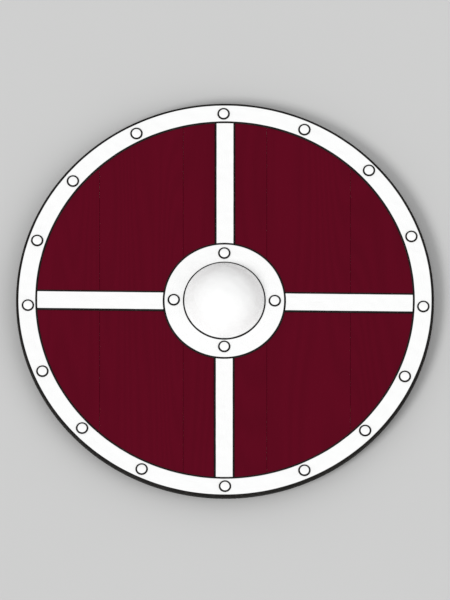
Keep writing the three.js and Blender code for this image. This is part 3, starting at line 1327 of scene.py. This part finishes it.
@dataclass
class Pegs:
    """The whittled pegs that hold battens and grip to the planks."""

    finishes: Finishes
    battens: tuple[str, ...] = ("upper", "lower")
    batten_count: int = 5
    grip_count: int = 4
    sides: int = 8
    chamfer: float = 0.7
    proud_of_grip: float = 0.9

    def build_peg(self, node: str, proud: float) -> None:
        """Makes one peg.

        Args:
            node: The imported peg.
            proud: How far its end stands out below.
        """
        low, high = node_box(node)
        middle = (low + high) / 2.0
        radius = (high.x - low.x) / 2.0
        lift = Matrix.Translation((middle.x, middle.y, middle.z - proud / 2.0))
        bm = bmesh.new()
        bmesh.ops.create_cone(
            bm,
            cap_ends=True,
            segments=self.sides,
            radius1=radius,
            radius2=radius,
            depth=high.z - low.z + proud,
            matrix=lift @ Matrix.Rotation(math.pi / self.sides, 4, "Z"),
        )
        round_edges(bm, self.chamfer, segments=2, wanted=is_level)
        Piece(f"oak_{node}", node, Slot.OAK, (self.finishes.oak,), sharp_angle=25.0).settle(bm)

    def build(self) -> None:
        """Makes all of the pegs."""
        for batten in self.battens:
            for number in range(1, self.batten_count + 1):
                self.build_peg(f"peg_{batten}_{number}", 0.0)
        for number in range(1, self.grip_count + 1):
            self.build_peg(f"peg_grip_{number}", self.proud_of_grip)


# ---- Ironwork ------------------------------------------------------------------------------------


@dataclass
class Hoop:
    """The iron hoop of U section, painted white on its face with black edges."""

    levels: Levels
    finishes: Finishes
    outer_r: float = 380.0
    inner_r: float = 341.8
    back_r: float = 346.0
    back_chamfer: float = 0.5
    rounding: float = 3.2
    arris_w: float = 2.6
    arris_h: float = 1.0
    paint_inner_r: float = 345.1
    paint_outer_r: float = 375.4
    steps: int = 288
    dents: float = 0.16
    dent_size: float = 26.0
    dent_seed: float = 1.0
    out_of_round: float = 0.0006
    out_of_round_size: float = 40.0
    out_of_round_seed: float = 2.0

    def section(self) -> Profile:
        """The U section, from the inner edge of its face round the outside and back within.

        Returns:
            (radius, height) points that close on themselves.
        """
        top, low = self.levels.plate, self.levels.hoop_low
        turn = self.rounding
        flat_in, flat_out = self.inner_r + self.arris_w, self.outer_r - turn
        back_edge = self.back_r + self.back_chamfer
        wall_r, wall_low, wall_high = self.outer_r - PLATE_T, low + PLATE_T, top - PLATE_T
        face = [(r, top) for r in steps_between(flat_in, flat_out, 8)]
        upper = arc((flat_out, top - turn), turn, turn, steps_between(0.0, QUARTER, 6)[1:])
        lower = arc((flat_out, low + turn), turn, -turn, steps_between(QUARTER, 0.0, 6))
        behind = [(r, low) for r in steps_between(flat_out, back_edge, 6)[1:]]
        back_lip = [(self.back_r, low + self.back_chamfer), (self.back_r, wall_low)]
        wall = [(wall_r, wall_low), (wall_r, wall_high)]
        face_lip = [(self.inner_r, wall_high), (self.inner_r, top - self.arris_h)]
        return face + upper + lower + behind + back_lip + wall + face_lip

    def reach(self, point: Vector) -> float:
        """How far inside the painted band a point of the hoop lies.

        Args:
            point: The point, in millimetres.

        Returns:
            The distance, below 0 where the iron stays bare.
        """
        if point.z < self.levels.plate - self.rounding:
            return -REACH_LIMIT
        radius = point.xy.length
        return min(radius - self.paint_inner_r, self.paint_outer_r - radius)

    def build(self) -> None:
        """Makes the hoop."""
        bm = turn_profile(self.section(), self.steps, closed=True)
        mark_reach(bm, self.reach)
        for vert in bm.verts:
            if self.levels.on_plate(vert.co):
                vert.co.z -= self.dents * dip(vert.co, self.dent_size, self.dent_seed)
            elif vert.co.xy.length > self.outer_r - NEAR:
                off = abs(ripple(vert.co, self.out_of_round_size, self.out_of_round_seed))
                vert.co.xy *= 1.0 - self.out_of_round * off
        materials = (self.finishes.white_iron[Stroke.ROUND],)
        Piece("iron_hoop", "rim_hoop", Slot.WHITE_IRON, materials, sharp_angle=40.0).settle(bm)


@dataclass
class Boss:
    """The raised boss: a dome on a flat flange, with a line of bare black iron in the crease, which
    also darkens the crease as painted shade.
    """

    levels: Levels
    finishes: Finishes
    flange_r: float = 111.8
    dome_r: float = 73.6
    arris_w: float = 2.4
    arris_h: float = 1.0
    crease: float = 3.0
    # The black line round the crease is left as bare black iron, and it is also painted shade: it
    # darkens the crease where shade falls.
    paint_r: float = 108.6
    crease_shade_line_r: float = 74.1
    crease_shade_half_width: float = 1.35
    steps: int = 160
    dome_rings: int = 26
    dome_from: float = 2.0
    dome_dents: float = 0.3
    dome_dent_size: float = 15.0
    dome_dent_seed: float = 5.0
    flange_dents: float = 0.15
    flange_dent_size: float = 22.0
    flange_dent_seed: float = 6.0

    @property
    def ball(self) -> tuple[float, float]:
        """The sphere that the dome is a cap of.

        Returns:
            Its radius, and the height of its middle.
        """
        rise = self.levels.crown - self.levels.plate
        radius = (self.dome_r**2 + rise**2) / (2.0 * rise)
        return radius, self.levels.crown - radius

    def cap(self, radius: float, centre: float, low: float) -> Profile:
        """Points on a cap of a sphere.

        Args:
            radius: The radius of the sphere.
            centre: The height of its middle.
            low: The height where the cap ends.

        Returns:
            Points from the edge of the cap up to the axis.
        """
        last = math.acos((low - centre) / radius)
        return arc((0.0, centre), radius, radius, steps_between(last, 0.0, self.dome_rings))

    def section(self) -> Profile:
        """The section, down the inside of the dome, out along the flange and up the outside.

        Returns:
            (radius, height) points from axis to axis.
        """
        top, low = self.levels.plate, self.levels.plate_low
        radius, centre = self.ball
        inside = self.cap(radius - PLATE_T, centre, low)
        angle = math.asin(self.dome_r / radius) - self.crease / radius
        start = (radius * math.sin(angle), centre + radius * math.cos(angle))
        outside = self.cap(radius, centre, start[1])
        foot = (self.dome_r + self.crease, top)
        bend = list(zip(foot, (self.dome_r, top), start))
        fillet = [
            tuple((1 - t) ** 2 * a + 2 * t * (1 - t) * b + t * t * c for a, b, c in bend)
            for t in steps_between(0.0, 1.0, 6)[1:-1]
        ]
        flange = [(r, top) for r in steps_between(self.flange_r - self.arris_w, foot[0], 8)]
        rim = [(self.flange_r, low), (self.flange_r, top - self.arris_h)]
        return inside[::-1] + rim + flange + fillet + outside

    def reach(self, point: Vector) -> float:
        """How far inside the painted areas a point of the boss lies.

        Args:
            point: The point, in millimetres, before the boss is laid in its place.

        Returns:
            The distance, below 0 where the iron stays bare.
        """
        if self.is_inside(point) or point.z < self.levels.plate - self.arris_h - NEAR:
            return -REACH_LIMIT
        radius = point.xy.length
        # Paint stops short of a band round the crease, so the band stays black as painted shade in the
        # crease.
        from_shade_line = abs(radius - self.crease_shade_line_r) - self.crease_shade_half_width
        return min(self.paint_r - radius, from_shade_line)

    def is_inside(self, point: Vector) -> bool:
        """Whether a point lies on the inner wall of the dome.

        Args:
            point: The point, in millimetres, before the boss is laid in its place.

        Returns:
            True on the inner wall.
        """
        radius, height = self.ball
        from_centre = (point - Vector((0.0, 0.0, height))).length
        return from_centre < radius - 0.5 * PLATE_T and point.xy.length < self.dome_r

    @staticmethod
    def centre() -> Vector:
        """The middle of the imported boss, on the ground."""
        low, high = node_box("boss")
        return Vector(((low.x + high.x) / 2.0, (low.y + high.y) / 2.0, 0.0))

    def build(self) -> None:
        """Makes the boss."""
        bm = turn_profile(self.section(), self.steps, closed=False)
        mark_reach(bm, self.reach)
        for vert in bm.verts:
            if vert.co.xy.length < self.dome_r and vert.co.z > self.levels.plate + self.dome_from:
                inward = -vert.co.normalized() if not self.is_inside(vert.co) else Vector()
                depth = self.dome_dents * dip(vert.co, self.dome_dent_size, self.dome_dent_seed)
                vert.co += inward * depth
            elif self.levels.on_plate(vert.co):
                depth = self.flange_dents * dip(vert.co, self.flange_dent_size, self.flange_dent_seed)
                vert.co.z -= depth
        bmesh.ops.translate(bm, vec=self.centre(), verts=bm.verts)
        materials = (self.finishes.white_iron[Stroke.ROUND],)
        Piece("iron_boss", "boss", Slot.WHITE_IRON, materials, sharp_angle=40.0).settle(bm)


@dataclass
class Straps:
    """The four straps between boss and hoop, with thin tongues that run under both."""

    levels: Levels
    finishes: Finishes
    arris_w: float = 2.7
    arris_h: float = 1.0
    paint_inset: float = 3.3
    tongue_from: float = 81.0
    tongue_to: float = 369.6
    tongue_slack: float = 0.1
    proud_from: float = 112.2
    proud_to: float = 341.4
    strips_along: int = 24
    strips_across: int = 8
    dents: float = 0.14
    dent_size: float = 30.0
    first_seed: float = 0.7
    seed_step: float = 2.3

    def end_line(self, arm: Arm, point: Vector) -> float:
        """Where the proud part ends beside a point near its end, following boss or hoop.

        Args:
            arm: Which strap it is.
            point: A point of the strap, before it is laid in place.

        Returns:
            How far along the strap the end lies.
        """
        near_boss = point.y < (self.proud_from + self.proud_to) / 2.0
        radius = self.proud_from if near_boss else self.proud_to
        middle = arm.placing.inverted() @ (Boss.centre() if near_boss else Vector())
        return middle.y + math.sqrt(radius**2 - (point.x - middle.x) ** 2)

    def flat_bar(self, half: float) -> bmesh.types.BMesh:
        """Makes the thin bar that the proud part stands on.

        Args:
            half: Half the width of the strap.

        Returns:
            The bar, cut into strips both ways.
        """
        length = self.tongue_to - self.tongue_from
        thick = self.levels.face - self.levels.strap_low
        middle = (0.0, self.tongue_from + length / 2.0, self.levels.strap_low + thick / 2.0)
        bm = bmesh.new()
        bmesh.ops.create_cube(bm, size=1.0)
        bmesh.ops.scale(bm, vec=(2.0 * half, length, thick), verts=bm.verts)
        bmesh.ops.translate(bm, vec=middle, verts=bm.verts)
        slice_along(bm, Y, (self.proud_from, self.proud_to))
        divide_along(bm, Y, self.proud_from, self.proud_to, self.strips_along)
        divide_along(bm, X, -half, half, self.strips_across)
        return bm

    def raise_face(self, bm: bmesh.types.BMesh, half: float) -> None:
        """Raises the proud part, and slopes its two long edges.

        Args:
            bm: The flat bar.
            half: Half the width of the strap.
        """
        proud = [
            face
            for face in bm.faces
            if face.normal.z > UPWARDS and self.proud_from < face.calc_center_median().y < self.proud_to
        ]
        for rise in (self.levels.plate - self.arris_h - self.levels.face, self.arris_h):
            raised = bmesh.ops.extrude_face_region(bm, geom=proud)["geom"]
            bmesh.ops.delete(bm, geom=proud, context="FACES")
            proud = [item for item in raised if isinstance(item, bmesh.types.BMFace)]
            verts = [item for item in raised if isinstance(item, bmesh.types.BMVert)]
            bmesh.ops.translate(bm, vec=(0.0, 0.0, rise), verts=verts)
        # The points that were raised last are those of the top.
        for vert in verts:
            if abs(vert.co.x) > half - NEAR:
                vert.co.x = math.copysign(half - self.arris_w, vert.co.x)

    def fit_ends(self, bm: bmesh.types.BMesh, arm: Arm) -> None:
        """Bends both ends of the proud part round boss and hoop.

        Args:
            bm: The strap, before it is laid in place.
            arm: Which strap it is.
        """
        for vert in bm.verts:
            at_end = min(abs(vert.co.y - self.proud_from), abs(vert.co.y - self.proud_to)) < NEAR
            if at_end and vert.co.z > self.levels.strap_low + self.tongue_slack:
                vert.co.y = self.end_line(arm, vert.co)

    def build_strap(self, arm: Arm, seed: float) -> None:
        """Makes one strap.

        Args:
            arm: Which strap it is.
            seed: Sets its unevenness apart.
        """
        bm = self.flat_bar(arm.half_width)
        self.raise_face(bm, arm.half_width)
        self.fit_ends(bm, arm)
        mark_reach(bm, lambda point: self.reach(arm, point))
        for vert in bm.verts:
            if self.levels.on_plate(vert.co):
                vert.co.z -= self.dents * dip(vert.co, self.dent_size, seed)
        bmesh.ops.transform(bm, matrix=arm.placing, verts=bm.verts)
        bmesh.ops.recalc_face_normals(bm, faces=bm.faces)
        node = f"strap_{arm.label}"
        materials = (self.finishes.white_iron[arm.stroke],)
        Piece(f"iron_{node}", node, Slot.WHITE_IRON, materials, sharp_angle=12.0).settle(bm)

    def reach(self, arm: Arm, point: Vector) -> float:
        """How far inside the painted band a point of a strap lies.

        Args:
            arm: Which strap it is.
            point: The point, before the strap is laid in place.

        Returns:
            The distance, below 0 where the iron stays bare.
        """
        if point.z < self.levels.plate - self.arris_h - NEAR:
            return -REACH_LIMIT
        return arm.half_width - self.paint_inset - abs(point.x)

    def build(self) -> None:
        """Makes all four straps."""
        for number, arm in enumerate(Arm):
            self.build_strap(arm, self.seed_step * number + self.first_seed)


@dataclass
class Roves:
    """The square roves that the boss's rivets are closed over."""

    finishes: Finishes
    thickness: float = 1.5
    strips: int = 6
    rounding: float = 0.35
    bend: float = 0.25
    bend_size: float = 9.0
    turn: float = 0.09
    first_seed: float = 1.3

    def build_rove(self, node: str, number: int) -> None:
        """Makes one rove.

        Args:
            node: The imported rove.
            number: Its place among the roves, from 0, which sets its bend and turn apart.
        """
        seed = self.first_seed + number
        low, high = node_box(node)
        side = high.x - low.x
        bm = bmesh.new()
        bmesh.ops.create_cube(bm, size=1.0)
        bmesh.ops.scale(bm, vec=(side, side, self.thickness), verts=bm.verts)
        for axis in (X, Y):
            divide_along(bm, axis, -side / 2.0, side / 2.0, self.strips)
        round_edges(bm, self.rounding, segments=2, wanted=lambda edge: True)
        for vert in bm.verts:
            vert.co.z += self.bend * ripple(vert.co, self.bend_size, seed)
        turned = Matrix.Rotation(self.turn * math.sin(seed), 3, "Z")
        bmesh.ops.rotate(bm, matrix=turned, verts=bm.verts)
        bmesh.ops.translate(bm, vec=(low + high) / 2.0, verts=bm.verts)
        Piece(f"square_{node}", node, Slot.BLACK_IRON, (self.finishes.black_iron,)).settle(bm)


@dataclass
class Rivets:
    """The domed rivets of hoop and boss, white on the crown and black at the edge."""

    levels: Levels
    finishes: Finishes
    hoop_count: int = 16
    head_r: float = 11.0
    edge_h: float = 0.55
    seat_gap: float = 0.03
    bead_w: float = 0.4
    bead_top_w: float = 0.05
    bead_h: float = 0.15
    paint_r: float = 8.15
    paint_drop: float = 0.55
    shank_r: float = 2.5
    tail_r: float = 5.5
    tail_into_rove: float = 0.1
    steps: int = 40
    head_dents: float = 0.16
    head_dent_size: float = 5.0
    head_dent_least: float = 0.6
    tail_dents: float = 0.32
    tail_dent_size: float = 4.0
    lean: float = 1.3
    # These steps, times a rivet's seed, set its dents, its lean and its turn apart from the others'.
    spot_steps: tuple[float, float] = (37.0, 11.0)
    lean_step: float = 5.0
    turn_step: float = 9.0
    hoop_seed_step: float = 0.37
    boss_first_seed: float = 7.1
    boss_seed_step: float = 0.61

    @property
    def head_low(self) -> float:
        """The level above which only a rivet's round head lies."""
        return self.levels.plate + self.edge_h

    def section(self, tail_low: float, tail_high: float, head_high: float) -> Profile:
        """The section of a rivet from the bottom of its tail to the top of its head.

        Args:
            tail_low: The lowest level of the tail.
            tail_high: The level that the tail is closed against.
            head_high: The highest level of the head.

        Returns:
            Points from axis to axis.
        """
        seat = self.levels.plate + self.seat_gap
        edge = seat + self.edge_h
        bead_r, bead_top_r = self.head_r + self.bead_w, self.head_r + self.bead_top_w
        tail = arc((0.0, tail_high), self.tail_r, tail_low - tail_high, steps_between(0.0, QUARTER, 5))
        shank = [(self.shank_r, tail_high), (self.shank_r, seat)]
        bead = [(bead_r, seat), (bead_top_r, seat + self.bead_h)]
        head = arc((0.0, edge), self.head_r, head_high - edge, steps_between(QUARTER, 0.0, 10))
        return tail + shank + bead + head

    def reach(self, point: Vector) -> float:
        """How far inside the painted crown a point lies, on a rivet that stands on the axis.

        Args:
            point: The point, in millimetres.

        Returns:
            The distance, below 0 where the iron stays bare.
        """
        if point.z < self.levels.plate:
            return -REACH_LIMIT
        dab = Vector((0.0, -self.paint_drop))
        return self.paint_r - (point.xy - dab).length

    def hammer(self, bm: bmesh.types.BMesh, tail_high: float, seed: float) -> None:
        """Dents the head and the tail, and lets the head lean and turn a little.

        Args:
            bm: The rivet, on the axis.
            tail_high: The level that its tail is closed against.
            seed: Sets its dents, lean and turn apart.
        """
        spot = Vector((*(seed * step for step in self.spot_steps), 0.0))
        for vert in bm.verts:
            if vert.co.z > self.head_low:
                uneven = ripple(vert.co + spot, self.head_dent_size, seed)
                vert.co.z -= self.head_dents * (self.head_dent_least + uneven)
            elif vert.co.z < tail_high - NEAR:
                vert.co.z += self.tail_dents * abs(ripple(vert.co + spot, self.tail_dent_size, seed))
        seat = Vector((0.0, 0.0, self.levels.plate))
        angle = math.radians(self.lean * math.sin(seed * self.lean_step))
        leaning = Matrix.Translation(seat) @ Matrix.Rotation(angle, 4, "X") @ Matrix.Translation(-seat)
        head = [vert for vert in bm.verts if vert.co.z > self.head_low]
        bmesh.ops.transform(bm, matrix=leaning, verts=head)
        turned = Matrix.Rotation(seed * self.turn_step, 3, "Z")
        bmesh.ops.rotate(bm, matrix=turned, verts=bm.verts)

    def build_rivet(self, node: str, tail_high: float, seed: float) -> None:
        """Makes one rivet.

        Args:
            node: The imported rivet.
            tail_high: The level that its tail is closed against.
            seed: Sets its dents and lean apart.
        """
        low, high = node_box(node)
        bm = turn_profile(self.section(low.z, tail_high, high.z), self.steps, closed=False)
        self.hammer(bm, tail_high, seed)
        mark_reach(bm, self.reach)
        ground = ((low.x + high.x) / 2.0, (low.y + high.y) / 2.0, 0.0)
        bmesh.ops.translate(bm, vec=ground, verts=bm.verts)
        for face in bm.faces:
            on_tail = face.calc_center_median().z < tail_high + self.head_dents
            face.material_index = 1 if on_tail else 0
        name = node.replace("rivet", "domed_rivet")
        materials = (self.finishes.white_iron[Stroke.UP], self.finishes.peened_iron)
        Piece(name, node, Slot.WHITE_IRON, materials, sharp_angle=50.0).settle(bm)

    def build(self) -> None:
        """Makes the rivets of the hoop, and those of the boss with their roves."""
        roves = Roves(self.finishes)
        hoop_back = self.levels.hoop_low - self.seat_gap
        for number in range(1, self.hoop_count + 1):
            self.build_rivet(f"rim_rivet_{number:02d}", hoop_back, self.hoop_seed_step * number)
        for number, arm in enumerate(Arm):
            rove = f"rove_{arm.label}"
            roves.build_rove(rove, number)
            rove_back = node_box(rove)[0].z + self.tail_into_rove
            seed = self.boss_first_seed + self.boss_seed_step * number
            self.build_rivet(f"boss_rivet_{arm.label}", rove_back, seed)


# ---- Studio --------------------------------------------------------------------------------------


def towards(azimuth: float, elevation: float) -> Vector:
    """The direction from the shield to a place round it.

    Args:
        azimuth: The place's bearing in degrees, with 0 on the camera's side.
        elevation: Its height above the floor, in degrees.

    Returns:
        A vector of length 1.
    """
    turn, rise = math.radians(azimuth), math.radians(elevation)
    return Vector((math.sin(turn) * math.cos(rise), -math.cos(turn) * math.cos(rise), math.sin(rise)))


def hang(name: str, data: bpy.types.ID, place: Vector, away: Vector) -> bpy.types.Object:
    """Hangs a light or a camera in the studio.

    Args:
        name: The object's name.
        data: The light or camera.
        place: Where it hangs, in metres.
        away: The direction that it turns its back to.

    Returns:
        The object.
    """
    obj = bpy.data.objects.new(name, data)
    obj.location = place
    obj.rotation_mode = "QUATERNION"
    obj.rotation_quaternion = away.to_track_quat("Z", "Y")
    bpy.context.scene.collection.objects.link(obj)
    return obj


@dataclass(frozen=True)
class SoftSun:
    """One large soft light far away. Its angles are in degrees."""

    name: str
    azimuth: float
    elevation: float
    power: float
    spread: float
    distance: float = 5.0

    def shine(self) -> None:
        """Hangs the light."""
        light = bpy.data.lights.new(self.name, "SUN")
        light.energy = self.power
        light.angle = math.radians(self.spread)
        away = towards(self.azimuth, self.elevation)
        hang(self.name, light, away * self.distance, away)


@dataclass
class Studio:
    """Floor, soft lights and camera."""

    levels: Levels
    floor_size: float = 60.0
    floor_squares: int = 8
    elevation: float = 70.3
    frame_height: float = 1.0909
    camera_distance: float = 3.0
    sky: Colour = (0.975, 0.98, 0.985)
    sky_strength: float = 0.635
    suns: tuple[SoftSun, ...] = (
        SoftSun("key_light", azimuth=-48.0, elevation=48.0, power=1.386, spread=22.0),
        SoftSun("fill_light", azimuth=62.0, elevation=40.0, power=0.562, spread=50.0),
    )

    def lay_floor(self) -> None:
        """Lays the floor that the shield lies on."""
        bm = bmesh.new()
        squares = self.floor_squares
        bmesh.ops.create_grid(bm, x_segments=squares, y_segments=squares, size=self.floor_size)
        mesh = bpy.data.meshes.new("studio_floor")
        bm.to_mesh(mesh)
        bm.free()
        mesh.materials.append(StudioPaper().make())
        floor = bpy.data.objects.new("studio_floor", mesh)
        bpy.context.scene.collection.objects.link(floor)

    def light_up(self) -> None:
        """Sets the even sky and the soft lights."""
        world = bpy.data.worlds.new("studio_sky")
        bpy.context.scene.world = world
        world.use_nodes = True
        back = world.node_tree.nodes["Background"]
        back.inputs["Color"].default_value = (*self.sky, 1.0)
        back.inputs["Strength"].default_value = self.sky_strength
        for sun in self.suns:
            sun.shine()

    def set_camera(self) -> None:
        """Looks down on the shield without perspective, so that circles show as plain ellipses."""
        camera = bpy.data.cameras.new("camera")
        camera.type = "ORTHO"
        camera.ortho_scale = self.frame_height
        back = towards(0.0, self.elevation)
        aim = Vector((0.0, 0.0, self.levels.plate * MM))
        bpy.context.scene.camera = hang("camera", camera, aim + back * self.camera_distance, back)

    def build(self) -> None:
        """Sets up the whole studio."""
        self.lay_floor()
        self.light_up()
        self.set_camera()
        bpy.context.scene.view_settings.view_transform = "Standard"


def main() -> None:
    """Builds the shield piece by piece, then the studio around it."""
    logging.basicConfig(level=logging.INFO, format="%(name)s: %(message)s")
    levels = Levels.read()
    finishes = Finishes()
    Planks(levels, finishes).build()
    Battens(finishes).build()
    Grip(levels, finishes).build()
    Pegs(finishes).build()
    Hoop(levels, finishes).build()
    Boss(levels, finishes).build()
    Straps(levels, finishes).build()
    Rivets(levels, finishes).build()
    Studio(levels).build()


if __name__ == "__main__":
    main()
